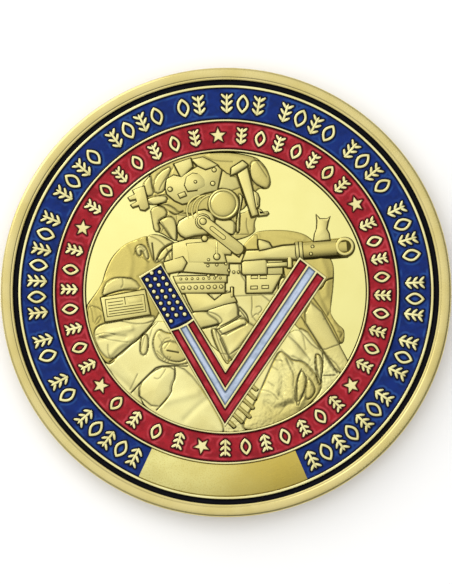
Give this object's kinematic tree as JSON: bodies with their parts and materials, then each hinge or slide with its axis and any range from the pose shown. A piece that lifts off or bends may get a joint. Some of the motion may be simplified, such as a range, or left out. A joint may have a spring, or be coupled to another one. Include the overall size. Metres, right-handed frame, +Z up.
{
  "type": "challenge coin",
  "caption": "Round struck metal coin with enamel rings, leaf ornament, a striped chevron and a relief figure in the middle.",
  "frame": {"origin": "centre of the plane that the coin's reverse rim rests on", "axes": "+Z up through the coin, out of its obverse; +Y towards the top of the obverse design"},
  "size_m": [0.04, 0.04, 0.003],
  "materials": {
    "gold_plated_metal": "pale gold plate, polished fields and sandblasted relief",
    "black_enamel": "glossy soft enamel",
    "blue_enamel": "glossy soft enamel",
    "red_enamel": "glossy soft enamel",
    "navy_enamel": "glossy soft enamel",
    "white_enamel": "glossy soft enamel"
  },
  "bodies": {
    "root": {"coin_body": "gold_plated_metal", "black_ring_enamel": "black_enamel", "blue_band_enamel": "blue_enamel", "blue_leaf_fills": "blue_enamel", "red_band_enamel": "red_enamel", "red_leaf_fills": "red_enamel", "chevron_navy_enamel": "navy_enamel", "chevron_outer_red_enamel": "red_enamel", "chevron_white_enamel": "white_enamel", "chevron_inner_red_enamel": "red_enamel", "reverse_ring_enamel": "black_enamel", "reverse_star_enamel": "blue_enamel"}
  },
  "joints": []
}
